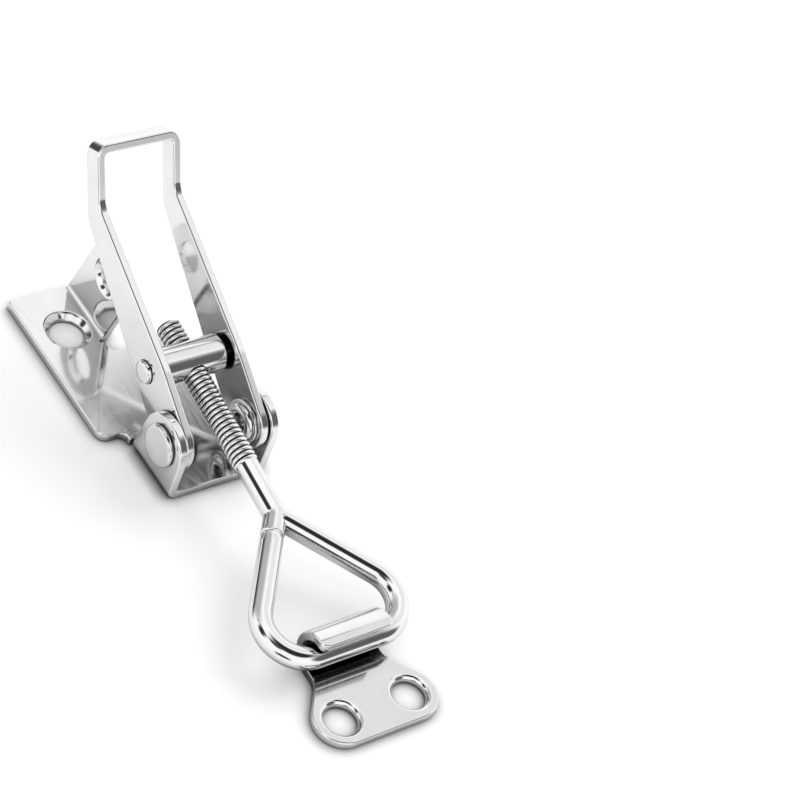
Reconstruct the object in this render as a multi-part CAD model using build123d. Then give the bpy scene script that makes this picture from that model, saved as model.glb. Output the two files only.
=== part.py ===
from build123d import *
from math import acos, asin, atan2, cos, degrees, hypot, radians, sin, tan
import os

# Over centre toggle latch. X runs across the latch along its pivot axis, Y from the catch back towards
# the rear of the base, Z up from the surface that both plates are screwed to. The origin is on that
# surface, on the centre line, straight below the pivot axis. The rest pose is the half open one.

# Sheet metal
BASE_SHEET = 2.0
HANDLE_SHEET = 2.0
CATCH_SHEET = 2.0
BEND_IN = 0.8

# Base plate, seen from above
CHANNEL_WIDTH = 25.0
FLANGE_WIDE = 5.7
FLANGE_FROM_EAR = 3.2
FLANGE_CORNER_R = 2.4
FLANGE_REAR_CORNER_R = 0.8
NECK_R = 1.6
FLOOR_BEFORE_TAB = 4.0
FLOOR_CORNER_R = 3.0
FLOOR_TAB_CORNER_R = 0.9
SCREW_FROM_TAB = 6.4
SCREW_FROM_REAR = 11.6
SCREW_R = 3.9
SCREW_SINK = 1.4

# Ears and pivot
PIVOT_Z = 10.35
EAR_R = 6.9
EAR_FOOT_REAR_Y = 8.2

# Where a wall is bent up: the wall's foot in side view, and the relief slot beside it in the flat
FOOT_R = 6.0
RELIEF_WIDE = 0.9
RELIEF_IN = 0.5

# Padlock tab
TAB_X = -3.1
TAB_FRONT_Y = 36.4
TAB_HEAD_BACK = 5.0
TAB_HEAD_Z = 15.6
TAB_HEAD_R = 7.7
TAB_FLARE = 3.4
TAB_HOLE_R = 3.5
TAB_HOLE_CHAMFER = 1.0

# Pivot rivets and washers
RIVET_R = 2.9
RIVET_BORE_R = 2.0
RIVET_HEAD_R = 4.7
RIVET_HEAD_T = 1.25
RIVET_EDGE = 0.25
ROLL_R = 4.1
ROLL_T = 1.1
ROLL_EDGE = 0.5
WASHER_R = 4.9
WASHER_T = 0.7
SEAT_GAP = 0.04
PRESS_CLEAR = 0.01
RUN_CLEAR = 0.08

# Handle strap, in the leg's own frame: along from the pivot, and square to it
HANDLE_SIDE_GAP = 0.15
LEG_ANGLE = 27.8
LEG_END_R = 6.2
LEG_SHOULDER_ALONG = 14.5
LEG_SHOULDER_FRONT = 6.7
KNEE_ALONG = 50.4
KNEE_FRONT = 3.95
LEG_BACK_START = 6.25
LEG_BACK_TAPER = 4.9
KNEE_BEND = 35.2
GRIP_LENGTH = 13.4
GRIP_WIDTH = 4.5
KNEE_R_IN = 5.0
KNEE_R_OUT = 5.0
SHOULDER_R = 30.0
STRAP_CORNER_IN = 1.0

# Cross barrel
BARREL_ALONG = 15.5
BARREL_R = 4.0
BARREL_END_GAP = 0.3
BARREL_CHAMFER = 0.35
JOURNAL_R = 2.3
JOURNAL_PROUD = 0.35

# Draw rod
WIRE_R = 2.5
THREAD_R = 2.8
THREAD_CLEAR = 0.06
THREAD_REAR = 9.0
THREAD_FRONT = 27.0
THREAD_RUNOUT = 0.9
STEM_LENGTH = 39.3
LOOP_LENGTH = 31.5
LOOP_HALF_ANGLE = 37.6
LOOP_CORNER_R = 8.05
ROOT_END_SHORT = 0.25
BAR_REST_Z = 6.2

# Catch plate
CATCH_HOLE_SPACING = 17.2
CATCH_HOLE_AHEAD = 12.6
CATCH_HOLE_R = 3.65
CATCH_HOLE_CHAMFER = 0.7
CATCH_LOBE_R = 6.2
CATCH_NECK = 17.8
CATCH_NECK_AHEAD = 2.9
CATCH_NECK_FILLET = 5.0
HOOK_GAP = 1.2
HOOK_LIP = 1.7
HOOK_LIP_CORNER_R = 1.6
HOOK_LAP = 1.0

EAR_X = CHANNEL_WIDTH / 2
EAR_IN_X = EAR_X - BASE_SHEET
LEG_X = EAR_IN_X - HANDLE_SIDE_GAP
LEG_IN_X = LEG_X - HANDLE_SHEET

TAB_HEAD_Y = TAB_FRONT_Y + TAB_HEAD_BACK
REAR_Y = TAB_HEAD_Y + TAB_HEAD_R + TAB_FLARE
FLOOR_FRONT_Y = -EAR_R
FLOOR_REAR_Y = TAB_FRONT_Y - FLOOR_BEFORE_TAB
FLANGE_X = -EAR_X - FLANGE_WIDE
FLANGE_FRONT_Y = EAR_FOOT_REAR_Y + FLANGE_FROM_EAR
SCREW_X = TAB_X - SCREW_FROM_TAB
SCREW_Y = REAR_Y - SCREW_FROM_REAR

BARREL_Y = BARREL_ALONG * cos(radians(LEG_ANGLE))
BARREL_Z = PIVOT_Z + BARREL_ALONG * sin(radians(LEG_ANGLE))
ROD_LENGTH = STEM_LENGTH + LOOP_LENGTH
ROD_PITCH = degrees(asin((BARREL_Z - BAR_REST_Z) / ROD_LENGTH))
BAR_Y = BARREL_Y - ROD_LENGTH * cos(radians(ROD_PITCH))


def box_between(x0, x1, y0, y1, z0, z1):
    return Pos((x0 + x1) / 2, (y0 + y1) / 2, (z0 + z1) / 2) * Box(x1 - x0, y1 - y0, z1 - z0)


def rod_x(x0, x1, y, z, radius):
    # A round along X.
    return Pos((x0 + x1) / 2, y, z) * Rot(0, 90, 0) * Cylinder(radius, x1 - x0)


def side_plane(x):
    # Sketch plane whose own axes are Y and Z, at the given x, facing +X.
    return Plane(origin=(x, 0, 0), x_dir=(0, 1, 0), z_dir=(1, 0, 0))


def tangent_lean(aside, down, radius):
    # Angle above level of the point where a line from a foot point touches a circle. The foot lies
    # that far aside of the circle's centre and that far below it.
    return acos(radius / hypot(aside, down)) - atan2(down, aside)


def ear_outline():
    # Straight sides that run without a corner into the round about the pivot.
    bend_top = BASE_SHEET + BEND_IN
    lean = tangent_lean(EAR_FOOT_REAR_Y, PIVOT_Z - bend_top, EAR_R)
    rear = (EAR_R * cos(lean), PIVOT_Z + EAR_R * sin(lean))
    front = (FLOOR_FRONT_Y, PIVOT_Z)
    with BuildSketch(side_plane(0)) as sk:
        with BuildLine():
            Polyline(front, (FLOOR_FRONT_Y, 0), (EAR_FOOT_REAR_Y, 0), (EAR_FOOT_REAR_Y, bend_top), rear)
            ThreePointArc(rear, (0, PIVOT_Z + EAR_R), front)
        make_face()
        fillet(sk.vertices().sort_by_distance((EAR_FOOT_REAR_Y, bend_top, 0))[0], FOOT_R)
    return sk.sketch


def tab_outline():
    # The rear flank flares into the plate's rear edge; the head is round about the lock hole.
    bend_top = BASE_SHEET + BEND_IN
    rear = (TAB_HEAD_Y + TAB_HEAD_R, TAB_HEAD_Z)
    lean = tangent_lean(TAB_HEAD_Y - TAB_FRONT_Y, TAB_HEAD_Z - bend_top, TAB_HEAD_R)
    front = (TAB_HEAD_Y - TAB_HEAD_R * cos(lean), TAB_HEAD_Z + TAB_HEAD_R * sin(lean))
    middle = ((REAR_Y + rear[0]) / 2, (bend_top + TAB_HEAD_Z) / 2)
    with BuildSketch(side_plane(0)) as sk:
        with BuildLine():
            Polyline(front, (TAB_FRONT_Y, bend_top), (TAB_FRONT_Y, 0), (REAR_Y, 0), (REAR_Y, bend_top))
            TangentArc((REAR_Y, bend_top), middle, tangent=(0, 1))
            TangentArc(rear, middle, tangent=(0, -1))
            ThreePointArc(rear, (TAB_HEAD_Y, TAB_HEAD_Z + TAB_HEAD_R), front)
        make_face()
        fillet(sk.vertices().sort_by_distance((TAB_FRONT_Y, bend_top, 0))[0], FOOT_R)
    return sk.sketch


def folded_wall(x_face, side, y0, y1, height):
    # Quarter bend and upright wall. x_face is the wall's face on the bend's hollow side;
    # side is +1 where the wall stands on +X of the flat, -1 where it stands on -X.
    hollow = x_face - side * BEND_IN
    top = BASE_SHEET + BEND_IN
    x_back = x_face + side * BASE_SHEET
    with BuildSketch(Plane.XZ) as sk:
        with BuildLine():
            Line((hollow, 0), (hollow, BASE_SHEET))
            TangentArc((hollow, BASE_SHEET), (x_face, top), tangent=(side, 0))
            Polyline((x_face, top), (x_face, height), (x_back, height), (x_back, top))
            TangentArc((x_back, top), (hollow, 0), tangent=(0, -1))
        make_face()
    wall = extrude(sk.sketch, amount=-(y1 - y0))
    return Pos(0, y0, 0) * wall


def base_plate():
    floor_x = EAR_IN_X - BEND_IN
    slot_x = floor_x - RELIEF_IN
    ear_slot_y = EAR_FOOT_REAR_Y + RELIEF_WIDE
    tab_flat_x = TAB_X - BEND_IN
    tab_slot_x = tab_flat_x - RELIEF_IN
    tab_slot_y = TAB_FRONT_Y - RELIEF_WIDE
    with BuildSketch() as sk:
        with BuildLine():
            Polyline(
                (FLANGE_X, REAR_Y),
                (FLANGE_X, FLANGE_FRONT_Y),
                (-EAR_X, FLANGE_FRONT_Y),
                (-EAR_X, ear_slot_y),
                (-slot_x, ear_slot_y),
                (-slot_x, EAR_FOOT_REAR_Y),
                (-floor_x, EAR_FOOT_REAR_Y),
                (-floor_x, FLOOR_FRONT_Y),
                (floor_x, FLOOR_FRONT_Y),
                (floor_x, EAR_FOOT_REAR_Y),
                (slot_x, EAR_FOOT_REAR_Y),
                (slot_x, ear_slot_y),
                (EAR_X, ear_slot_y),
                (EAR_X, FLOOR_REAR_Y),
                (TAB_X, FLOOR_REAR_Y),
                (TAB_X, tab_slot_y),
                (tab_slot_x, tab_slot_y),
                (tab_slot_x, TAB_FRONT_Y),
                (tab_flat_x, TAB_FRONT_Y),
                (tab_flat_x, REAR_Y),
                close=True,
            )
        make_face()

        def corner(x, y):
            return sk.vertices().sort_by_distance((x, y, 0))[0]

        fillet(corner(FLANGE_X, FLANGE_FRONT_Y), FLANGE_CORNER_R)
        fillet(corner(-EAR_X, FLANGE_FRONT_Y), NECK_R)
        fillet(corner(EAR_X, FLOOR_REAR_Y), FLOOR_CORNER_R)
        fillet(corner(TAB_X, FLOOR_REAR_Y), FLOOR_TAB_CORNER_R)
        fillet(corner(FLANGE_X, REAR_Y), FLANGE_REAR_CORNER_R)
        for x, y in ((-slot_x, ear_slot_y), (-slot_x, EAR_FOOT_REAR_Y), (slot_x, EAR_FOOT_REAR_Y),
                     (slot_x, ear_slot_y), (tab_slot_x, tab_slot_y), (tab_slot_x, TAB_FRONT_Y)):
            fillet(corner(x, y), RELIEF_WIDE * 0.45)
    flat = extrude(sk.sketch, amount=BASE_SHEET)

    tall = PIVOT_Z + EAR_R + 2
    ears = None
    for side in (-1, 1):
        wall = folded_wall(side * EAR_IN_X, side, FLOOR_FRONT_Y, EAR_FOOT_REAR_Y, tall)
        outline = extrude(ear_outline(), amount=EAR_X + 1, both=True)
        ear = wall & outline
        ears = ear if ears is None else ears + ear

    tab_tall = TAB_HEAD_Z + TAB_HEAD_R + 2
    tab = folded_wall(TAB_X, 1, TAB_FRONT_Y - TAB_HEAD_R, REAR_Y, tab_tall)
    tab &= extrude(tab_outline(), amount=EAR_X, both=True)
    tab -= rod_x(TAB_X - BASE_SHEET, TAB_X + BASE_SHEET * 2, TAB_HEAD_Y, TAB_HEAD_Z, TAB_HOLE_R)
    tab -= Pos(TAB_X + TAB_HOLE_CHAMFER / 2, TAB_HEAD_Y, TAB_HEAD_Z) * Rot(0, 90, 0) * Cone(
        TAB_HOLE_R + TAB_HOLE_CHAMFER, TAB_HOLE_R, TAB_HOLE_CHAMFER)

    plate = flat + ears + tab
    plate -= Pos(SCREW_X, SCREW_Y, BASE_SHEET / 2) * Cylinder(SCREW_R, BASE_SHEET * 2)
    sink = Cone(SCREW_R, SCREW_R + SCREW_SINK, SCREW_SINK)
    plate -= Pos(SCREW_X, SCREW_Y, BASE_SHEET - SCREW_SINK / 2) * sink
    # the rivets' holes, in line through both ears
    return plate - rod_x(-EAR_X - 1, EAR_X + 1, 0, PIVOT_Z, RIVET_R + PRESS_CLEAR)


def handle_outline():
    # Leg profile: round pivot end, shoulder at the barrel, taper to the knee, then the bent up grip.
    bend = radians(KNEE_BEND)
    run = (cos(bend), sin(bend))
    back = (sin(bend), -cos(bend))
    tip_front = (KNEE_ALONG + GRIP_LENGTH * run[0], KNEE_FRONT + GRIP_LENGTH * run[1])
    tip_back = (tip_front[0] + GRIP_WIDTH * back[0], tip_front[1] + GRIP_WIDTH * back[1])
    slope = tan(radians(LEG_BACK_TAPER))
    # where the grip's back line meets the leg's back line
    reach = (tip_back[1] + LEG_BACK_START - slope * tip_back[0]) / (run[1] - slope * run[0])
    knee_back = (tip_back[0] - reach * run[0], tip_back[1] - reach * run[1])
    along_leg = (0, cos(radians(LEG_ANGLE)), sin(radians(LEG_ANGLE)))
    leg_plane = Plane(origin=(0, 0, PIVOT_Z), x_dir=along_leg, z_dir=(1, 0, 0))
    with BuildSketch(leg_plane) as sk:
        with BuildLine():
            Polyline(
                (0, LEG_END_R),
                (LEG_SHOULDER_ALONG, LEG_SHOULDER_FRONT),
                (KNEE_ALONG, KNEE_FRONT),
                tip_front,
                tip_back,
                knee_back,
                (0, -LEG_BACK_START),
                close=True,
            )
        make_face()
        for along, front, radius in ((KNEE_ALONG, KNEE_FRONT, KNEE_R_IN), (*knee_back, KNEE_R_OUT),
                                     (LEG_SHOULDER_ALONG, LEG_SHOULDER_FRONT, SHOULDER_R)):
            fillet(sk.vertices().sort_by_distance((along, front, 0))[0], radius)
        Circle(LEG_END_R)
    return sk.sketch, leg_plane


def handle():
    outline, leg_plane = handle_outline()
    body = extrude(outline, amount=LEG_X, both=True)
    # strap section: two walls and a bridge with rounded corners, seen along the grip's width
    grip_angle = LEG_ANGLE + KNEE_BEND
    run = Vector(0, cos(radians(grip_angle)), sin(radians(grip_angle)))
    knee = leg_plane.from_local_coords((KNEE_ALONG, KNEE_FRONT))
    section_plane = Plane(origin=knee, x_dir=(1, 0, 0), z_dir=Vector(1, 0, 0).cross(run))
    with BuildSketch(section_plane) as sk:
        with Locations((0, GRIP_LENGTH - 60)):
            Rectangle(2 * LEG_X, 120)
        fillet(sk.vertices().group_by(Axis.Y)[-1], STRAP_CORNER_IN + HANDLE_SHEET)
    with BuildSketch(section_plane) as cut:
        with Locations((0, GRIP_LENGTH - HANDLE_SHEET - 60)):
            Rectangle(2 * LEG_IN_X, 120)
        fillet(cut.vertices().group_by(Axis.Y)[-1], STRAP_CORNER_IN)
    section = extrude(sk.sketch, amount=70, both=True) - extrude(cut.sketch, amount=70, both=True)
    strap = body & section
    strap -= rod_x(-EAR_X, EAR_X, 0, PIVOT_Z, RIVET_R + RUN_CLEAR)
    strap -= rod_x(-EAR_X, EAR_X, BARREL_Y, BARREL_Z, JOURNAL_R + RUN_CLEAR)
    return strap


def pivot_rivet(side):
    # Turned profile about the pivot axis: flat head outside the ear, hollow shank, and the tail that is
    # swaged over the washer.
    tail = LEG_IN_X - SEAT_GAP - WASHER_T
    crown = tail - ROLL_T
    head = EAR_X
    face = head + RIVET_HEAD_T
    with BuildSketch(Plane.XZ) as sk:
        with BuildLine():
            Polyline((head, 0), (face, 0), (face, RIVET_HEAD_R - RIVET_EDGE),
                     (face - RIVET_EDGE, RIVET_HEAD_R), (head, RIVET_HEAD_R),
                     (head, RIVET_R), (tail, RIVET_R), (tail, ROLL_R), (crown + ROLL_EDGE, ROLL_R),
                     (crown, ROLL_R - ROLL_EDGE), (crown, RIVET_BORE_R), (EAR_IN_X, RIVET_BORE_R),
                     (EAR_IN_X, 0), close=True)
        make_face()
    turned = revolve(sk.sketch, Axis.X, 360)
    turned = Pos(0, 0, PIVOT_Z) * turned
    return turned if side > 0 else turned.mirror(Plane.YZ)


def pivot_washer(side):
    outer = LEG_IN_X - SEAT_GAP
    ring = rod_x(outer - WASHER_T, outer, 0, PIVOT_Z, WASHER_R)
    ring -= rod_x(outer - WASHER_T * 2, outer + WASHER_T, 0, PIVOT_Z, RIVET_R + PRESS_CLEAR)
    return ring if side > 0 else ring.mirror(Plane.YZ)


def barrel_nut():
    half = LEG_IN_X - BARREL_END_GAP
    body = rod_x(-half, half, BARREL_Y, BARREL_Z, BARREL_R)
    body = chamfer(body.edges().filter_by(GeomType.CIRCLE), BARREL_CHAMFER)
    end = LEG_X + JOURNAL_PROUD
    body += rod_x(-end, end, BARREL_Y, BARREL_Z, JOURNAL_R)
    bore = Cylinder(THREAD_R + THREAD_CLEAR, BARREL_R * 4)
    return body - Pos(0, BARREL_Y, BARREL_Z) * Rot(90 + ROD_PITCH, 0, 0) * bore


def draw_rod():
    # One wire, drawn flat along -Y from the barrel's axis: it turns out of the stem into the left leg,
    # goes round the loop and ends against the turn. Then it is pitched down to the hook.
    half = radians(LOOP_HALF_ANGLE)
    apex = -STEM_LENGTH
    bar = -ROD_LENGTH
    corner_y = bar + LOOP_CORNER_R
    corner_x = ((LOOP_LENGTH - LOOP_CORNER_R) * sin(half) - LOOP_CORNER_R) / cos(half)
    # where the straight leg runs into the corner's arc
    touch_x = corner_x + LOOP_CORNER_R * cos(half)
    touch_y = corner_y + LOOP_CORNER_R * sin(half)
    middle = radians((90 + LOOP_HALF_ANGLE) / 2 - LOOP_HALF_ANGLE)
    middle_x = corner_x + LOOP_CORNER_R * cos(middle)
    middle_y = corner_y - LOOP_CORNER_R * sin(middle)

    def wire_along(path):
        track = path.wires()[0]
        with BuildSketch(Plane(origin=track @ 0, z_dir=track % 0)) as round_section:
            Circle(WIRE_R)
        return sweep(round_section.sketch, path=track, transition=Transition.RIGHT)

    with BuildLine(Plane.XY) as left:
        Polyline((0, -THREAD_FRONT + THREAD_RUNOUT), (0, apex), (-touch_x, touch_y))
        ThreePointArc((-touch_x, touch_y), (-middle_x, middle_y), (-corner_x, bar))
        Line((-corner_x, bar), (0, bar))
    with BuildLine(Plane.XY) as right:
        Line((0, bar), (corner_x, bar))
        ThreePointArc((corner_x, bar), (middle_x, middle_y), (touch_x, touch_y))
        Line((touch_x, touch_y), (ROOT_END_SHORT * sin(half), apex - ROOT_END_SHORT * cos(half)))
    with BuildSketch(Plane.YZ) as sk:
        with BuildLine():
            Polyline((THREAD_REAR, 0), (THREAD_REAR, THREAD_R - THREAD_RUNOUT / 2),
                     (THREAD_REAR - THREAD_RUNOUT / 2, THREAD_R), (-THREAD_FRONT + THREAD_RUNOUT, THREAD_R),
                     (-THREAD_FRONT, WIRE_R), (-THREAD_FRONT, 0), close=True)
        make_face()
    rod = wire_along(left) + wire_along(right) + revolve(sk.sketch, Axis.Y, 360)
    return Pos(0, BARREL_Y, BARREL_Z) * Rot(ROD_PITCH, 0, 0) * rod


def catch_plate():
    inner_r = WIRE_R + HOOK_GAP
    outer_r = inner_r + CATCH_SHEET
    hook_y = BAR_Y
    hook_z = CATCH_SHEET + inner_r
    hole_y = BAR_Y - CATCH_HOLE_AHEAD
    front_y = hole_y - CATCH_LOBE_R
    half_neck = CATCH_NECK / 2
    half_holes = CATCH_HOLE_SPACING / 2
    # each flank runs from the neck to where it touches the lobe
    meet = hook_y - CATCH_NECK_AHEAD
    lean = atan2(meet - hole_y, half_neck - half_holes)
    lean -= acos(CATCH_LOBE_R / hypot(half_neck - half_holes, meet - hole_y))
    touch_x = half_holes + CATCH_LOBE_R * cos(lean)
    touch_y = hole_y + CATCH_LOBE_R * sin(lean)
    # plan of the flat: two lobes about the holes, joined to the neck
    with BuildSketch() as flat_sk:
        with Locations((-half_holes, hole_y), (half_holes, hole_y)):
            Circle(CATCH_LOBE_R)
        with Locations((0, hole_y)):
            Rectangle(CATCH_HOLE_SPACING, 2 * CATCH_LOBE_R)
        with BuildLine():
            Polyline((-touch_x, touch_y), (-half_neck, meet), (-half_neck, hook_y), (half_neck, hook_y),
                     (half_neck, meet), (touch_x, touch_y), (half_holes, hole_y), (-half_holes, hole_y),
                     close=True)
        make_face()
        for side in (-1, 1):
            fillet(flat_sk.vertices().sort_by_distance((side * half_neck, meet, 0))[0], CATCH_NECK_FILLET)
    plate = extrude(flat_sk.sketch, amount=CATCH_SHEET)
    # side view of the curl, open towards the screw holes
    with BuildSketch(side_plane(0)) as hook_sk:
        with BuildLine():
            lip_y = hook_y - HOOK_LIP
            lip_top = hook_z + outer_r
            lip_under = hook_z + inner_r
            flat_y = hook_y - HOOK_LAP
            ThreePointArc((hook_y, 0), (hook_y + outer_r, hook_z), (hook_y, lip_top))
            Polyline((hook_y, lip_top), (lip_y, lip_top), (lip_y, lip_under), (hook_y, lip_under))
            ThreePointArc((hook_y, lip_under), (hook_y + inner_r, hook_z), (hook_y, CATCH_SHEET))
            Polyline((hook_y, CATCH_SHEET), (flat_y, CATCH_SHEET), (flat_y, 0), (hook_y, 0))
        make_face()
    hook = extrude(hook_sk.sketch, amount=half_neck, both=True)
    lip_edges = hook.edges().filter_by(Axis.Z).sort_by(Axis.Y)[:4].sort_by(Axis.Z)[-2:]
    hook = fillet(lip_edges, HOOK_LIP_CORNER_R)
    plate += hook
    for side in (-1, 1):
        plate -= Pos(side * half_holes, hole_y, CATCH_SHEET / 2) * Cylinder(CATCH_HOLE_R, CATCH_SHEET * 2)
        plate -= Pos(side * half_holes, hole_y, CATCH_SHEET - CATCH_HOLE_CHAMFER / 2) * Cone(
            CATCH_HOLE_R, CATCH_HOLE_R + CATCH_HOLE_CHAMFER, CATCH_HOLE_CHAMFER)
    return plate


def main():
    os.makedirs("parts", exist_ok=True)
    nodes = {
        "base_plate": base_plate(),
        "handle": handle(),
        "pivot_rivet_left": pivot_rivet(-1),
        "pivot_rivet_right": pivot_rivet(1),
        "pivot_washer_left": pivot_washer(-1),
        "pivot_washer_right": pivot_washer(1),
        "barrel_nut": barrel_nut(),
        "draw_rod": draw_rod(),
        "catch_plate": catch_plate(),
    }
    for name, shape in nodes.items():
        solids = shape.solids()
        print(name, len(solids), "solid", "volume", round(shape.volume, 1), "valid", shape.is_valid)
        export_step(solids[0] if len(solids) == 1 else shape, f"parts/{name}.step")


main()
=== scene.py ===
from math import cos, pi, radians, sin, tan

import bpy
from mathutils import Matrix, Vector


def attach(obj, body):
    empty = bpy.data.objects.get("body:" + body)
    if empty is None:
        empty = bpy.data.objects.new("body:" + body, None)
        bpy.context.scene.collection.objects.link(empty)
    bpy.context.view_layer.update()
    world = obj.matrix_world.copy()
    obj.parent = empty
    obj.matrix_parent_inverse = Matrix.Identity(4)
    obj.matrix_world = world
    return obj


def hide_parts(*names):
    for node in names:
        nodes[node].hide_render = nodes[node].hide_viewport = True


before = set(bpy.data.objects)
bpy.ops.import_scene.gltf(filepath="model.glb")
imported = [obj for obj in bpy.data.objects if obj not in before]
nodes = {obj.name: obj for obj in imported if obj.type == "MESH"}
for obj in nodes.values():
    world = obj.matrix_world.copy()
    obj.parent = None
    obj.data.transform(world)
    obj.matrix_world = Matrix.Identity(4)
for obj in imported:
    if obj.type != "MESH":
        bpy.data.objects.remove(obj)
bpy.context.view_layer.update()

mm = 0.001
# points closer than this are one point
mergeDistance = 0.002 * mm
print("frame loaded:", ", ".join(sorted(nodes)))


def clearSelection():
    if bpy.context.object and bpy.context.object.mode != "OBJECT":
        bpy.ops.object.mode_set(mode="OBJECT")
    bpy.ops.object.select_all(action="DESELECT")


def pick(obj):
    clearSelection()
    obj.select_set(True)
    bpy.context.view_layer.objects.active = obj


def applyModifiers(obj):
    pick(obj)
    for modifier in list(obj.modifiers):
        bpy.ops.object.modifier_apply(modifier=modifier.name)


def settle(obj):
    # place goes into the mesh, so the object sits at the origin
    pick(obj)
    bpy.ops.object.transform_apply(location=True, rotation=True, scale=True)


def editAll(obj):
    pick(obj)
    bpy.ops.object.mode_set(mode="EDIT")
    bpy.ops.mesh.select_all(action="SELECT")


def mergeAndFaceOut():
    # in edit mode, with everything selected: doubles joined and faces turned outwards, then back to object mode
    bpy.ops.mesh.remove_doubles(threshold=mergeDistance)
    bpy.ops.mesh.normals_make_consistent(inside=False)
    bpy.ops.object.mode_set(mode="OBJECT")


def spinAbout(axis, steps):
    # the outline drawn in edit mode becomes a closed turned form
    bpy.ops.mesh.select_all(action="SELECT")
    bpy.ops.mesh.spin(steps=steps, angle=2 * pi, center=(0, 0, 0), axis=axis, dupli=False)
    bpy.ops.mesh.select_all(action="SELECT")
    mergeAndFaceOut()


def smooth(obj, degrees):
    pick(obj)
    bpy.ops.object.shade_smooth_by_angle(angle=radians(degrees))


def boolean(obj, other, operation, overlapping=False):
    modifier = obj.modifiers.new(operation.lower(), "BOOLEAN")
    modifier.use_self = overlapping
    modifier.operation = operation
    modifier.solver = "EXACT"
    modifier.object = other
    applyModifiers(obj)
    bpy.data.objects.remove(other)


def startPoint():
    # one vertex at the origin, in edit mode, from which an outline is drawn
    bpy.ops.mesh.primitive_plane_add(size=mm)
    obj = bpy.context.object
    bpy.ops.object.mode_set(mode="EDIT")
    bpy.ops.mesh.select_mode(type="VERT")
    bpy.ops.mesh.select_all(action="SELECT")
    bpy.ops.mesh.merge(type="CENTER")
    return obj


def extrudeBy(step):
    bpy.ops.mesh.extrude_vertices_move(TRANSFORM_OT_translate={"value": step})


def towards(azimuth, elevation):
    # direction from the part to a place around it: azimuth 0 is the front, 90 the part's right
    a, e = radians(azimuth), radians(elevation)
    return Vector((sin(a) * cos(e), -cos(a) * cos(e), sin(e)))


# camera, at the photograph's angle
cameraSettings = {
    "azimuth": -51.98,
    "elevation": 43.36,
    "roll": 24.69,
    "distance": 628.9 * mm,
    "target": (54.41 * mm, 0.58 * mm, 0.0),
    "lens": 127.455,
    "sensor": 36,
    "nearest": 0.01,
    "farthest": 20,
}


def makeCamera(s):
    a, r = radians(s["azimuth"]), radians(s["roll"])
    back = towards(s["azimuth"], s["elevation"])
    level = Vector((cos(a), sin(a), 0))
    upright = back.cross(level)
    right = cos(r) * level + sin(r) * upright
    up = cos(r) * upright - sin(r) * level
    bpy.ops.object.camera_add()
    camera = bpy.context.object
    camera.name = "photoCamera"
    turn = Matrix((right, up, back)).transposed().to_4x4()
    camera.matrix_world = Matrix.Translation(Vector(s["target"]) + back * s["distance"]) @ turn
    camera.data.lens = s["lens"]
    camera.data.sensor_width = s["sensor"]
    camera.data.clip_start = s["nearest"]
    camera.data.clip_end = s["farthest"]
    bpy.context.scene.camera = camera


clearSelection()
makeCamera(cameraSettings)
print("camera placed")

# room: a plain studio that glossy metal sees as pale walls with softer and darker panels on them
roomSettings = {
    "white": (1, 1, 1, 1),
    "ambient": 0.6,
    "lampStrength": 1.2,
    "lampAngle": 45,
    "lampFrom": (0.8, 0.3, 0.7),
    "floorGrey": 0.96,
    "floorSize": 1.2,
    "floorLift": 0.3,
    # how far from the part the painted contact shadow darkens the floor: as the camera sees it, and as the metal
    # mirrors it
    "contactReach": 3.5,
    "mirroredReach": 14.0,
    "contactShadowGrey": 0.04,
    "contactOpenness": (0.25, 0.95),
    "contactSamples": 8,
    "walls": 1.2,
    # each panel: azimuth and elevation of its middle, half width and softness in degrees, brightness; where two
    # overlap, the later one is seen
    "panels": [
        (-170, 40, 24, 14, 0.55),
        (97, 46, 16, 10, 1.0),
        (130, 42, 10, 8, 1.15),
        (124.5, 50, 6, 3, 0.93),
        (132.8, 46.2, 1.6, 1.4, 0.06),
        (-131.5, 45, 2.5, 2, 0.06),
        (-163, -3, 22, 11, 0.07),
        (46, 42, 10, 6, 0.45),
        (37, 24, 20, 7, 0.14),
        (10, 70, 21.5, 6, 0.03),
        (-60, 60, 11, 5, 0.06),
        (-106, 34, 9.5, 4.5, 0.035),
        (-107, 49, 10, 6, 0.035),
        (-46, 3, 15, 6, 0.035),
    ],
}


def addNode(tree, kind, values=None, **fields):
    node = tree.nodes.new(kind)
    for name, value in fields.items():
        setattr(node, name, value)
    for name, value in (values or {}).items():
        node.inputs[name].default_value = value
    return node


def paintEnclosedShade(tree, reach, samples, openness, dark, light):
    # painted shade: grey that falls from light to dark as the surfaces around a point close in
    near = addNode(tree, "ShaderNodeAmbientOcclusion", {"Distance": reach * mm}, samples=samples)
    grey = addNode(tree, "ShaderNodeMapRange", {
        "From Min": openness[0], "From Max": openness[1], "To Min": dark, "To Max": light})
    tree.links.new(near.outputs["AO"], grey.inputs["Value"])
    return grey


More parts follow.
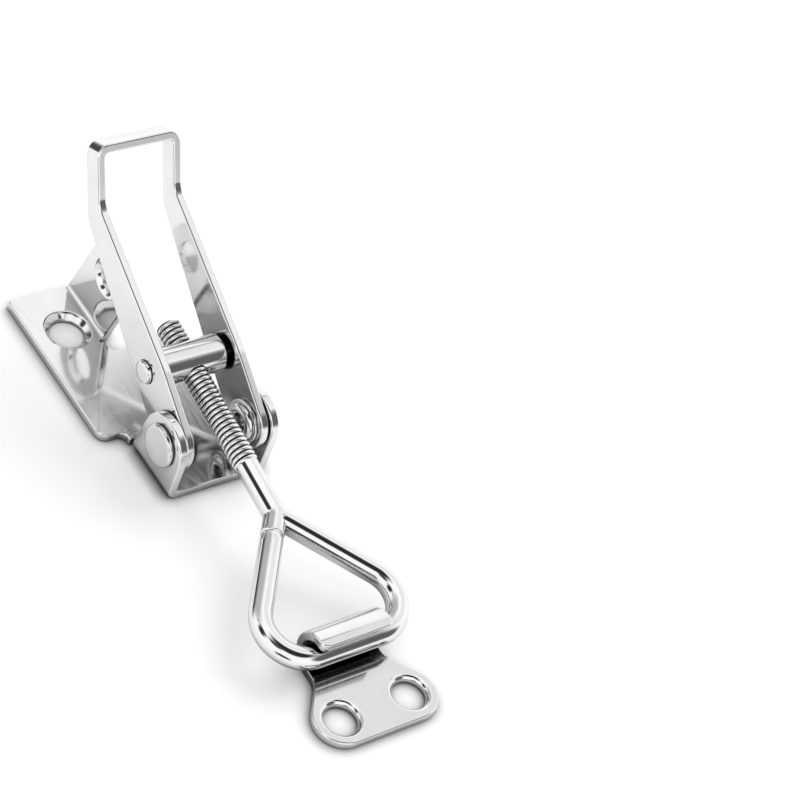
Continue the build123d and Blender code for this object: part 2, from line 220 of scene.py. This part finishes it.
def makeWorld(s):
    world = bpy.data.worlds.new("studio")
    bpy.context.scene.world = world
    world.use_nodes = True
    tree = world.node_tree
    tree.nodes.clear()
    link = tree.links.new
    coords = addNode(tree, "ShaderNodeTexCoord")
    level = None
    for azimuth, elevation, half, soft, grey in s["panels"]:
        facing = addNode(tree, "ShaderNodeVectorMath", operation="DOT_PRODUCT")
        link(coords.outputs["Generated"], facing.inputs[0])
        facing.inputs[1].default_value = towards(azimuth, elevation)
        panel = addNode(tree, "ShaderNodeMapRange", {
            "From Min": cos(radians(half + soft)), "From Max": cos(radians(half - soft)),
            "To Min": s["walls"], "To Max": grey}, interpolation_type="SMOOTHSTEP")
        link(facing.outputs["Value"], panel.inputs["Value"])
        if level:
            link(level, panel.inputs["To Min"])
        level = panel.outputs["Result"]
    # plain white for the camera, the panels for the metal's reflections, an even light for everything else
    paths = addNode(tree, "ShaderNodeLightPath")
    seen = addNode(tree, "ShaderNodeBackground", {"Color": s["white"], "Strength": 1.0})
    reflected = addNode(tree, "ShaderNodeBackground", {"Color": s["white"]})
    ambient = addNode(tree, "ShaderNodeBackground", {"Color": s["white"], "Strength": s["ambient"]})
    link(level, reflected.inputs["Strength"])
    mixGlossy = addNode(tree, "ShaderNodeMixShader")
    link(paths.outputs["Is Glossy Ray"], mixGlossy.inputs[0])
    link(ambient.outputs[0], mixGlossy.inputs[1])
    link(reflected.outputs[0], mixGlossy.inputs[2])
    mixCamera = addNode(tree, "ShaderNodeMixShader")
    link(paths.outputs["Is Camera Ray"], mixCamera.inputs[0])
    link(mixGlossy.outputs[0], mixCamera.inputs[1])
    link(seen.outputs[0], mixCamera.inputs[2])
    out = addNode(tree, "ShaderNodeOutputWorld")
    link(mixCamera.outputs[0], out.inputs["Surface"])


def makeLamp(s):
    bpy.ops.object.light_add(type="SUN")
    lamp = bpy.context.object
    lamp.name = "softKey"
    lamp.rotation_mode = "QUATERNION"
    lamp.rotation_quaternion = Vector(s["lampFrom"]).to_track_quat("Z", "Y")
    lamp.data.energy = s["lampStrength"]
    lamp.data.angle = radians(s["lampAngle"])
    lamp.visible_glossy = False


def makeFloor(s):
    bpy.ops.mesh.primitive_plane_add(size=s["floorSize"])
    floor = bpy.context.object
    floor.name = "floor"
    material = bpy.data.materials.new("paleFloor")
    material.use_nodes = True
    tree = material.node_tree
    shader = tree.nodes["Principled BSDF"]
    shader.inputs["Roughness"].default_value = 1.0
    shader.inputs["Specular IOR Level"].default_value = 0.0
    link = tree.links.new
    # painted contact shadow: the floor's colour is darker close to what stands on it
    paths = addNode(tree, "ShaderNodeLightPath")
    greys = []
    for reach in (s["mirroredReach"], s["contactReach"]):
        greys.append(paintEnclosedShade(
            tree, reach, s["contactSamples"], s["contactOpenness"], s["contactShadowGrey"], s["floorGrey"]))
    grey = addNode(tree, "ShaderNodeMix", data_type="FLOAT")
    link(paths.outputs["Is Camera Ray"], grey.inputs[0])
    # inputs 2 and 3 are the two values that are mixed
    link(greys[0].outputs[0], grey.inputs[2])
    link(greys[1].outputs[0], grey.inputs[3])
    link(grey.outputs[0], shader.inputs["Base Color"])
    # the camera and the metal's reflections see the open floor lighter, as plain white
    shader.inputs["Emission Color"].default_value = s["white"]
    lift = addNode(tree, "ShaderNodeMath", {1: s["floorLift"]}, operation="MULTIPLY")
    seen = addNode(tree, "ShaderNodeMath", operation="MAXIMUM")
    link(paths.outputs["Is Camera Ray"], seen.inputs[0])
    link(paths.outputs["Is Glossy Ray"], seen.inputs[1])
    link(seen.outputs[0], lift.inputs[0])
    lit = addNode(tree, "ShaderNodeMath", operation="MULTIPLY")
    link(lift.outputs[0], lit.inputs[0])
    link(grey.outputs[0], lit.inputs[1])
    link(lit.outputs[0], shader.inputs["Emission Strength"])
    floor.data.materials.append(material)


makeWorld(roomSettings)
makeLamp(roomSettings)
clearSelection()
makeFloor(roomSettings)
bpy.context.scene.view_settings.view_transform = "Standard"
print("studio lit")

# finish shared by every plated piece: soft clouding of the plate, and fine lines left by the tool or die
grainSettings = {
    "clouds": {"Detail": 4.0, "Roughness": 0.55},
    "cloudSpan": {"From Min": 0.35, "From Max": 0.65},
    "lines": {"Detail": 2.0, "Roughness": 0.5},
    "lineSpan": {"From Min": 0.3, "From Max": 0.7},
}


def makeFinishGroup(s):
    group = bpy.data.node_groups.new("platedFinish", "ShaderNodeTree")
    sockets = [
        ("Vector", "INPUT", "NodeSocketVector", None),
        ("Line Stretch", "INPUT", "NodeSocketVector", (1.0, 1.0, 1.0)),
        ("Line Scale", "INPUT", "NodeSocketFloat", 3000.0),
        ("Line Depth", "INPUT", "NodeSocketFloat", 0.3),
        ("Cloud Scale", "INPUT", "NodeSocketFloat", 120.0),
        ("Light", "INPUT", "NodeSocketFloat", 0.86),
        ("Dark", "INPUT", "NodeSocketFloat", 0.78),
        ("Polish", "INPUT", "NodeSocketFloat", 0.12),
        ("Dull", "INPUT", "NodeSocketFloat", 0.22),
        ("Color", "OUTPUT", "NodeSocketColor", None),
        ("Roughness", "OUTPUT", "NodeSocketFloat", None),
        ("Height", "OUTPUT", "NodeSocketFloat", None),
    ]
    for name, way, kind, value in sockets:
        socket = group.interface.new_socket(name=name, in_out=way, socket_type=kind)
        if value is not None:
            socket.default_value = value
    link = group.links.new
    source = addNode(group, "NodeGroupInput")
    out = addNode(group, "NodeGroupOutput")
    clouds = addNode(group, "ShaderNodeTexNoise", s["clouds"])
    link(source.outputs["Vector"], clouds.inputs["Vector"])
    link(source.outputs["Cloud Scale"], clouds.inputs["Scale"])
    stretched = addNode(group, "ShaderNodeVectorMath", operation="MULTIPLY")
    link(source.outputs["Vector"], stretched.inputs[0])
    link(source.outputs["Line Stretch"], stretched.inputs[1])
    lines = addNode(group, "ShaderNodeTexNoise", s["lines"])
    link(stretched.outputs[0], lines.inputs["Vector"])
    link(source.outputs["Line Scale"], lines.inputs["Scale"])
    # grey between the dark and light value, drawn by the clouds
    tone = addNode(group, "ShaderNodeMapRange", s["cloudSpan"])
    link(clouds.outputs["Fac"], tone.inputs["Value"])
    link(source.outputs["Dark"], tone.inputs["To Min"])
    link(source.outputs["Light"], tone.inputs["To Max"])
    colour = addNode(group, "ShaderNodeCombineColor")
    for channel in ("Red", "Green", "Blue"):
        link(tone.outputs[0], colour.inputs[channel])
    link(colour.outputs[0], out.inputs["Color"])
    # roughness between polished and dull, drawn by the lines
    gloss = addNode(group, "ShaderNodeMapRange", s["lineSpan"])
    link(lines.outputs["Fac"], gloss.inputs["Value"])
    link(source.outputs["Polish"], gloss.inputs["To Min"])
    link(source.outputs["Dull"], gloss.inputs["To Max"])
    link(gloss.outputs[0], out.inputs["Roughness"])
    depth = addNode(group, "ShaderNodeMath", operation="MULTIPLY")
    link(lines.outputs["Fac"], depth.inputs[0])
    link(source.outputs["Line Depth"], depth.inputs[1])
    height = addNode(group, "ShaderNodeMath", operation="ADD")
    link(depth.outputs[0], height.inputs[0])
    link(clouds.outputs["Fac"], height.inputs[1])
    link(height.outputs[0], out.inputs["Height"])
    return group


finishGroup = makeFinishGroup(grainSettings)
# rays that each finish sends out to find how enclosed a point is, for its painted shade
paintedShadeSamples = 6


def makeSteel(name, finish):
    material = bpy.data.materials.new(name)
    material.use_nodes = True
    tree = material.node_tree
    shader = tree.nodes["Principled BSDF"]
    shader.inputs["Metallic"].default_value = 1.0
    coords = addNode(tree, "ShaderNodeTexCoord")
    look = addNode(tree, "ShaderNodeGroup", node_tree=finishGroup)
    for socket, value in finish["group"].items():
        look.inputs[socket].default_value = value
    bump = addNode(tree, "ShaderNodeBump", {"Strength": finish["bump"], "Distance": finish["bumpDepth"]})
    link = tree.links.new
    link(coords.outputs["Object"], look.inputs["Vector"])
    # painted shade: the colour is darkened in corners, gaps, recesses and on sides facing nearby surfaces, where
    # the surroundings close in
    shadeGrey = paintEnclosedShade(
        tree, finish["paintedShadeReach"], paintedShadeSamples, finish["paintedShadeOpenness"], finish["paintedShadeDark"], 1.0)
    if "grooveShade" in finish:
        # painted shade: the thread's grooves are darkened, told from its crests by the distance from the rod's own
        # line
        place = addNode(tree, "ShaderNodeMapping", vector_type="TEXTURE")
        place.inputs["Location"].default_value = Vector(finish["grooveShade"]["centre"]) * mm
        place.inputs["Rotation"].default_value = (radians(finish["grooveShade"]["pitch"]), 0, 0)
        link(coords.outputs["Object"], place.inputs["Vector"])
        across = addNode(tree, "ShaderNodeVectorMath", {1: (1, 0, 1)}, operation="MULTIPLY")
        link(place.outputs[0], across.inputs[0])
        far = addNode(tree, "ShaderNodeVectorMath", operation="LENGTH")
        link(across.outputs[0], far.inputs[0])
        crest = addNode(tree, "ShaderNodeMapRange", {
            "From Min": finish["grooveShade"]["from"] * mm, "From Max": finish["grooveShade"]["to"] * mm,
            "To Min": finish["grooveShade"]["dark"], "To Max": 1.0}, interpolation_type="SMOOTHSTEP")
        link(far.outputs["Value"], crest.inputs["Value"])
        both = addNode(tree, "ShaderNodeMath", operation="MULTIPLY")
        link(shadeGrey.outputs[0], both.inputs[0])
        link(crest.outputs[0], both.inputs[1])
        shadeGrey = both
    tone = addNode(tree, "ShaderNodeVectorMath", operation="SCALE")
    link(look.outputs["Color"], tone.inputs[0])
    link(shadeGrey.outputs[0], tone.inputs["Scale"])
    link(tone.outputs[0], shader.inputs["Base Color"])
    link(look.outputs["Roughness"], shader.inputs["Roughness"])
    link(look.outputs["Height"], bump.inputs["Height"])
    link(bump.outputs["Normal"], shader.inputs["Normal"])
    return material


# line of the draw rod: a point on it, in the middle of the cross barrel, and its pitch in degrees
rodLine = {"at": (0.0, 13.711005, 17.578993), "pitch": 9.248704}

# each finish: depth of its grain, then the painted shade in its corners: how far in mm it reaches, from which
# openness to which it clears up, and how dark it gets
sheetFinish = {
    "bump": 0.02,
    "bumpDepth": 0.05 * mm,
    "paintedShadeReach": 14.0,
    "paintedShadeOpenness": (0.12, 0.64),
    "paintedShadeDark": 0.08,
    "group": {"Line Stretch": (1.0, 0.06, 1.0), "Line Scale": 2600.0, "Line Depth": 0.15, "Cloud Scale": 160.0,
              "Light": 0.81, "Dark": 0.77, "Polish": 0.08, "Dull": 0.12},
}
turnedFinish = {
    "bump": 0.12,
    "bumpDepth": 0.03 * mm,
    "paintedShadeReach": 3.0,
    "paintedShadeOpenness": (0.08, 0.5),
    "paintedShadeDark": 0.04,
    "group": {"Line Stretch": (1.0, 0.05, 0.05), "Line Scale": 3200.0, "Line Depth": 0.25, "Cloud Scale": 200.0,
              "Light": 0.8, "Dark": 0.76, "Polish": 0.07, "Dull": 0.12},
}
rivetFinish = {
    "bump": 0.15,
    "bumpDepth": 0.04 * mm,
    "paintedShadeReach": 2.0,
    "paintedShadeOpenness": (0.08, 0.5),
    "paintedShadeDark": 0.2,
    "group": {"Line Stretch": (1.0, 1.0, 1.0), "Line Scale": 1800.0, "Line Depth": 0.2, "Cloud Scale": 260.0,
              "Light": 0.78, "Dark": 0.72, "Polish": 0.1, "Dull": 0.17},
}
wireFinish = {
    "bump": 0.1,
    "bumpDepth": 0.03 * mm,
    "paintedShadeReach": 12.0,
    "paintedShadeOpenness": (0.3, 0.84),
    "paintedShadeDark": 0.05,
    "group": {"Line Stretch": (1.0, 0.08, 1.0), "Line Scale": 2400.0, "Line Depth": 0.2, "Cloud Scale": 180.0,
              "Light": 0.82, "Dark": 0.78, "Polish": 0.05, "Dull": 0.09},
}
threadFinish = {
    "bump": 0.1,
    "bumpDepth": 0.03 * mm,
    "paintedShadeReach": 2.0,
    "paintedShadeOpenness": (0.08, 0.5),
    "paintedShadeDark": 0.3,
    "grooveShade": {"centre": rodLine["at"], "pitch": rodLine["pitch"], "from": 2.3, "to": 2.66, "dark": 0.04},
    "group": {"Line Stretch": (1.0, 1.0, 1.0), "Line Scale": 2400.0, "Line Depth": 0.2, "Cloud Scale": 180.0,
              "Light": 0.86, "Dark": 0.82, "Polish": 0.15, "Dull": 0.25},
}
steels = {
    "sheet": makeSteel("platedSheet", sheetFinish),
    "turned": makeSteel("platedTurned", turnedFinish),
    "rivet": makeSteel("platedRivet", rivetFinish),
    "wire": makeSteel("platedWire", wireFinish),
    "thread": makeSteel("platedThread", threadFinish),
}
print("finishes mixed")


def hand(piece, finishName, body, replaced):
    # finish, body, and the cad node that the piece stands for
    piece.data.materials.clear()
    piece.data.materials.append(steels[finishName])
    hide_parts(replaced)
    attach(piece, body)
    print(piece.name, "made,", len(piece.data.polygons), "faces")


# edges flatter than this many degrees are shaded smooth: on sheet, wire and barrel, and on the small rivets
smoothAngle = 40
rivetAngle = 50
# how much more than small faces the broad ones draw the shading at their edges
broadWeight = 100


def flatten(piece, degrees, broadSides=None):
    # broad faces keep a flat shine beside their rounded edges, and those of many sides are shaded flat
    smooth(piece, degrees)
    if broadSides:
        for face in piece.data.polygons:
            if len(face.vertices) > broadSides:
                face.use_smooth = False
    weighted = piece.modifiers.new("flatFaces", "WEIGHTED_NORMAL")
    weighted.keep_sharp = True
    weighted.weight = broadWeight
    applyModifiers(piece)


# sheet metal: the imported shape, with the small rounds that blanking and tumbling leave on its edges
sheetPieces = {
    "basePlate": {"node": "base_plate", "body": "base", "edge": 0.36, "segments": 4},
    "handleStrap": {"node": "handle", "body": "handle", "edge": 0.4, "segments": 4},
    "catchPlate": {"node": "catch_plate", "body": "catch", "edge": 0.36, "segments": 4},
}
# degrees below which a fold is dissolved, degrees above which it is an edge, and sides from which a face is broad
sheetSettings = {"dissolveAngle": 0.5, "edgeAngle": 35, "broadSides": 8}

# padlock tab's rear flank: straight from its foot to where it touches the round head
flankSettings = {
    "across": (-3.3, -0.9),
    "foot": (52.5, 2.85),
    "touch": (48.87, 17.45),
    "inFrom": 46.6,
}


def straightenFlank(piece, s):
    low, high = s["foot"][1] * mm, s["touch"][1] * mm
    for vertex in piece.data.vertices:
        x, y, z = vertex.co
        if s["across"][0] * mm < x < s["across"][1] * mm and low < z < high and y > s["inFrom"] * mm:
            share = (z - low) / (high - low)
            vertex.co.y = (s["foot"][0] + share * (s["touch"][0] - s["foot"][0])) * mm


def dressSheet(name, s, shared):
    piece = bpy.data.objects.new(name, nodes[s["node"]].data.copy())
    bpy.context.collection.objects.link(piece)
    editAll(piece)
    bpy.ops.mesh.select_mode(type="VERT")
    bpy.ops.mesh.select_all(action="SELECT")
    bpy.ops.mesh.remove_doubles(threshold=mergeDistance)
    bpy.ops.mesh.dissolve_limited(angle_limit=radians(shared["dissolveAngle"]))
    bpy.ops.object.mode_set(mode="OBJECT")
    if name == "basePlate":
        straightenFlank(piece, flankSettings)
    rounds = piece.modifiers.new("edgeRounds", "BEVEL")
    rounds.width = s["edge"] * mm
    rounds.segments = s["segments"]
    rounds.limit_method = "ANGLE"
    rounds.angle_limit = radians(shared["edgeAngle"])
    rounds.use_clamp_overlap = False
    applyModifiers(piece)
    flatten(piece, smoothAngle, shared["broadSides"])
    return piece


for pieceName, settings in sheetPieces.items():
    hand(dressSheet(pieceName, settings, sheetSettings), "sheet", settings["body"], settings["node"])

# draw rod: the wire's real thread and its joint at the loop's root
rodSettings = {
    "wireRadius": 2.5,
    "crestRadius": 2.8,
    "rootRadius": 2.2,
    "threadPitch": 1.115,
    # one side of the thread's rib: step along in pitches, step out in shares of the thread's depth
    "rib": [(0.04, 0.02), (0.07, 0.36), (0.11, 0.34), (0.13, 0.2), (0.15, 0.08)],
    "threadRear": 9.0,
    "threadFront": 27.0,
    "runout": 0.9,
    # turns wound beyond the blank at the front and in all, and the blank's lead into the wire
    "turnsAhead": 1.5,
    "turnsSpare": 4,
    "lead": 1.2,
    "leadShare": 0.97,
    "blankSteps": 96,
    "stem": 39.3,
    "length": 70.8,
    "halfAngle": 37.6,
    "cornerRadius": 8.05,
    "rootBend": 3.2,
    "rootShort": 0.25,
    "hiddenEnd": 1,
    # curve handles: at the wire's hidden ends, on the stem, on the legs and on the bar
    "handles": {"end": 1, "stem": 3, "leg": 6, "bar": 5},
    "curveSteps": 20,
    "roundSteps": 14,
    "threadSteps": 40,
    # pressed seam round the left leg: how far down the leg, ring by ring, and the ring's size there
    "seam": [(4.2, 1.0), (4.75, 1.03), (5.0, 0.98), (5.15, 0.9), (5.3, 0.98), (5.5, 1.01), (6.2, 1.0)],
    # mm beyond the seam that are looked at, how close a ring's points lie, and the leg's radius with some room
    "seamMargin": 2,
    "ringNear": 0.01,
    "legRoom": 1.1,
    # notch where the wire's end stops short of the turn: along the right leg, across it, and above its middle
    "notch": {"along": (2.1, 3.5), "across": (-2.7, 0.4), "height": (0.9, 3.0)},
}


def makeThread(s):
    # one rounded rib's profile, wound along the rod by the screw modifier, then cut to the turned blank
    clearSelection()
    pitch, crest, root = s["threadPitch"] * mm, s["crestRadius"] * mm, s["rootRadius"] * mm
    turns = int((s["threadRear"] + s["threadFront"]) / s["threadPitch"]) + s["turnsSpare"]
    start = -(s["threadFront"] + s["turnsAhead"] * s["threadPitch"]) * mm
    thread = startPoint()
    bpy.ops.transform.translate(value=(root, start, 0))
    rise = crest - root
    for along, out in s["rib"] + [(along, -out) for along, out in reversed(s["rib"])]:
        extrudeBy((out * rise, along * pitch, 0))
    bpy.ops.object.mode_set(mode="OBJECT")
    screw = thread.modifiers.new("wind", "SCREW")
    screw.axis = "Y"
    screw.angle = 2 * pi
    screw.screw_offset = pitch
    screw.iterations = turns
    screw.steps = s["threadSteps"]
    screw.render_steps = s["threadSteps"]
    screw.use_merge_vertices = False
    applyModifiers(thread)
    editAll(thread)
    bpy.ops.mesh.remove_doubles(threshold=mergeDistance)
    bpy.ops.mesh.select_all(action="DESELECT")
    bpy.ops.mesh.select_mode(type="EDGE")
    bpy.ops.mesh.select_non_manifold()
    bpy.ops.mesh.edge_face_add()
    bpy.ops.mesh.select_all(action="SELECT")
    bpy.ops.mesh.normals_make_consistent(inside=False)
    bpy.ops.object.mode_set(mode="OBJECT")
    boolean(thread, makeBlank(s), "INTERSECT")
    thread.name = "rodThread"
    return thread


def makeBlank(s):
    # turned blank: chamfered free end, and a short runout into the plain wire
    clearSelection()
    crest = s["crestRadius"] * mm
    chamfer = s["runout"] / 2 * mm
    front = -s["threadFront"] * mm
    rear = s["threadRear"] * mm
    foremost = front - s["lead"] * mm
    blank = startPoint()
    bpy.ops.transform.translate(value=(0, foremost, 0))
    wire = s["wireRadius"] * mm * s["leadShare"]
    points = [(wire, foremost), (wire, front), (crest, front + s["runout"] * mm), (crest, rear - chamfer),
              (crest - chamfer, rear), (0, rear)]
    last = (0, foremost)
    for radius, along in points:
        extrudeBy((radius - last[0], along - last[1], 0))
        last = (radius, along)
    spinAbout((0, 1, 0), s["blankSteps"])
    return blank


def makeWire(s):
    # the loop's centre line, drawn flat and thickened to the wire's radius
    half = radians(s["halfAngle"])
    apex, bar = -s["stem"], -s["length"]
    corner = s["cornerRadius"]
    cornerY = bar + corner
    loop = s["length"] - s["stem"]
    cornerX = ((loop - corner) * sin(half) - corner) / cos(half)
    touch = (cornerX + corner * cos(half), cornerY + corner * sin(half))
    middle = radians((90 - s["halfAngle"]) / 2)
    mid = (cornerX + corner * cos(middle), cornerY - corner * sin(middle))
    setback = s["rootBend"] * tan(half / 2)
    sweep = (pi / 2 + half) / 2
    reach = 4 / 3 * tan(sweep / 4) * corner
    rootReach = 4 / 3 * tan(half / 4) * s["rootBend"]
    down = Vector((0, -1))
    outLeft = Vector((-sin(half), -cos(half)))
    acrossRight = Vector((1, 0))
    backRight = Vector((-sin(half), cos(half)))
    turnLeft = Vector((sin(middle), -cos(middle)))
    turnRight = Vector((sin(middle), cos(middle)))
    end, stem, leg, straight = (s["handles"][part] for part in ("end", "stem", "leg", "bar"))
    # point, heading, handle before and after: from inside the thread, round the loop and back to the root
    stations = [
        ((0, s["hiddenEnd"] - s["threadFront"]), down, end, stem),
        ((0, apex + setback), down, stem, rootReach),
        ((setback * -sin(half), apex - setback * cos(half)), outLeft, rootReach, leg),
        ((-touch[0], touch[1]), outLeft, leg, reach),
        ((-mid[0], mid[1]), turnLeft, reach, reach),
        ((-cornerX, bar), acrossRight, reach, straight),
        ((cornerX, bar), acrossRight, straight, reach),
        ((mid[0], mid[1]), turnRight, reach, reach),
        (touch, backRight, reach, leg),
        ((s["rootShort"] * sin(half), apex - s["rootShort"] * cos(half)), backRight, leg, end),
    ]
    clearSelection()
    bpy.ops.curve.primitive_bezier_curve_add()
    wire = bpy.context.object
    curve = wire.data
    curve.dimensions = "3D"
    curve.resolution_u = s["curveSteps"]
    curve.bevel_depth = s["wireRadius"] * mm
    curve.bevel_resolution = s["roundSteps"]
    curve.use_fill_caps = True
    spline = curve.splines[0]
    spline.bezier_points.add(len(stations) - 2)
    for point, (place, heading, before, after) in zip(spline.bezier_points, stations):
        point.handle_left_type = "FREE"
        point.handle_right_type = "FREE"
        here = Vector((place[0], place[1], 0))
        step = Vector((heading[0], heading[1], 0))
        point.co = here * mm
        point.handle_left = (here - step * before) * mm
        point.handle_right = (here + step * after) * mm
    pick(wire)
    bpy.ops.object.convert(target="MESH")
    wire = bpy.context.object
    editAll(wire)
    mergeAndFaceOut()
    pressSeam(wire, s, outLeft)
    cutNotch(wire, s, -backRight)
    wire.name = "rodWire"
    return wire


def pressSeam(wire, s, heading):
    # new rings of points round the leg, each drawn in or let out about the leg's own line
    down = Vector((heading[0], heading[1], 0))
    root = Vector((0, -s["stem"], 0)) * mm
    nearLeg = s["legRoom"] * s["wireRadius"] * mm
    first, last = s["seam"][0][0] - s["seamMargin"], s["seam"][-1][0] + s["seamMargin"]
    for along, size in s["seam"]:
        centre = (Vector((0, -s["stem"], 0)) + down * along) * mm
        # only the left leg's faces are cut
        clearSelection()
        for vertex in wire.data.vertices:
            reach = (vertex.co - root).dot(down)
            aside = (vertex.co - root - down * reach).length
            vertex.select = first * mm < reach < last * mm and aside < nearLeg
        pick(wire)
        bpy.ops.object.mode_set(mode="EDIT")
        bpy.ops.mesh.select_mode(type="VERT")
        bpy.ops.mesh.bisect(plane_co=centre, plane_no=down)
        bpy.ops.object.mode_set(mode="OBJECT")
        for vertex in wire.data.vertices:
            off = vertex.co - centre
            vertex.select = abs(off.dot(down)) < s["ringNear"] * mm and off.length < nearLeg
        bpy.ops.object.mode_set(mode="EDIT")
        bpy.ops.transform.resize(value=(size, size, size), center_override=centre)
        bpy.ops.object.mode_set(mode="OBJECT")


def cutNotch(wire, s, heading):
    n = s["notch"]
    clearSelection()
    bpy.ops.mesh.primitive_cube_add(size=1)
    block = bpy.context.object
    spans = [n["across"], n["along"], n["height"]]
    middle = [(low + high) / 2 for low, high in spans]
    down = Vector((heading[0], heading[1], 0))
    across = Vector((-heading[1], heading[0], 0))
    place = Vector((0, -s["stem"], 0)) + across * middle[0] + down * middle[1] + Vector((0, 0, middle[2]))
    size = Matrix.Diagonal(Vector([high - low for low, high in spans] + [1]))
    turn = Matrix((across, down, (0, 0, 1))).transposed().to_4x4()
    block.matrix_world = Matrix.Scale(mm, 4) @ Matrix.Translation(place) @ turn @ size
    settle(block)
    boolean(wire, block, "DIFFERENCE", overlapping=True)


def layAlongRod(obj, extraPitch=0):
    # from the flat drawing to the rod's place: pitched down to the hook, through the barrel
    turn = Matrix.Rotation(radians(rodLine["pitch"] + extraPitch), 4, "X")
    obj.matrix_world = Matrix.Translation(Vector(rodLine["at"]) * mm) @ turn
    settle(obj)


rodWire = makeWire(rodSettings)
rodThread = makeThread(rodSettings)
for piece, finishName in ((rodWire, "wire"), (rodThread, "thread")):
    layAlongRod(piece)
    smooth(piece, smoothAngle)
    hand(piece, finishName, "rod", "draw_rod")

# pivot rivets, their washers and the cross barrel: turned about lines along x
turnedSettings = {
    "pivotHeight": 10.35,
    "rivetSteps": 72,
    "barrelSteps": 112,
    # distance from the middle, radius: blind bore, rolled tail, shank, flat head
    "rivetOutline": [(10.5, 0), (10.5, 1.75), (10.3, 1.95), (7.3, 2.0), (6.9, 2.08), (6.65, 2.3), (6.53, 2.65),
                     (6.52, 3.05), (6.62, 3.45), (6.85, 3.8), (7.15, 4.02), (7.45, 4.08), (7.6, 3.95), (7.61, 2.9),
                     (12.5, 2.9), (12.5, 4.25), (12.66, 4.3), (12.72, 4.5), (12.84, 4.66), (13.0, 4.7), (13.3, 4.7),
                     (13.52, 4.64), (13.68, 4.5), (13.75, 4.25), (13.75, 3.9), (13.72, 2.0), (13.71, 0)],
    "washerOutline": [(7.61, 2.91), (7.61, 4.7), (7.68, 4.86), (7.82, 4.9), (8.1, 4.9), (8.24, 4.86), (8.31, 4.7),
                      (8.31, 2.91), (7.61, 2.91)],
    "barrelOutline": [(0, 4.2), (7.05, 4.2), (7.22, 4.16), (7.36, 4.06), (7.43, 3.92), (7.45, 3.7), (7.45, 2.3),
                      (10.5, 2.3), (10.56, 2.5), (10.95, 2.5), (11.2, 2.4), (11.34, 2.15), (11.4, 1.7), (11.42, 0)],
    "bore": 2.86,
    "boreSteps": 96,
    "boreLength": 16,
}


def turnOutline(outline, steps, height, along=0.0):
    # the outline is drawn above the x axis and spun about it
    clearSelection()
    turned = startPoint()
    bpy.ops.transform.translate(value=(outline[0][0] * mm, 0, outline[0][1] * mm))
    last = outline[0]
    for point in outline[1:]:
        extrudeBy(((point[0] - last[0]) * mm, 0, (point[1] - last[1]) * mm))
        last = point
    spinAbout((1, 0, 0), steps)
    turned.location = (0, along * mm, height * mm)
    settle(turned)
    return turned


def mirrored(outline):
    return [(-x, radius) for x, radius in outline]


def makeBarrel(s):
    # both halves of the outline, less the middle point, and a bore for the rod
    whole = mirrored(s["barrelOutline"][:0:-1]) + s["barrelOutline"][1:]
    along, height = rodLine["at"][1:]
    barrel = turnOutline(whole, s["barrelSteps"], height, along)
    clearSelection()
    bpy.ops.mesh.primitive_cylinder_add(
        vertices=s["boreSteps"], radius=s["bore"] * mm, depth=s["boreLength"] * mm)
    bore = bpy.context.object
    layAlongRod(bore, 90)
    boolean(barrel, bore, "DIFFERENCE")
    flatten(barrel, smoothAngle)
    barrel.name = "crossBarrel"
    return barrel


for sideName, flip in (("left", mirrored), ("right", list)):
    for kind in ("rivet", "washer"):
        piece = turnOutline(
            flip(turnedSettings[kind + "Outline"]), turnedSettings["rivetSteps"], turnedSettings["pivotHeight"])
        piece.name = kind + "_" + sideName
        flatten(piece, rivetAngle)
        hand(piece, "rivet", "base", "pivot_" + kind + "_" + sideName)
hand(makeBarrel(turnedSettings), "turned", "barrel", "barrel_nut")
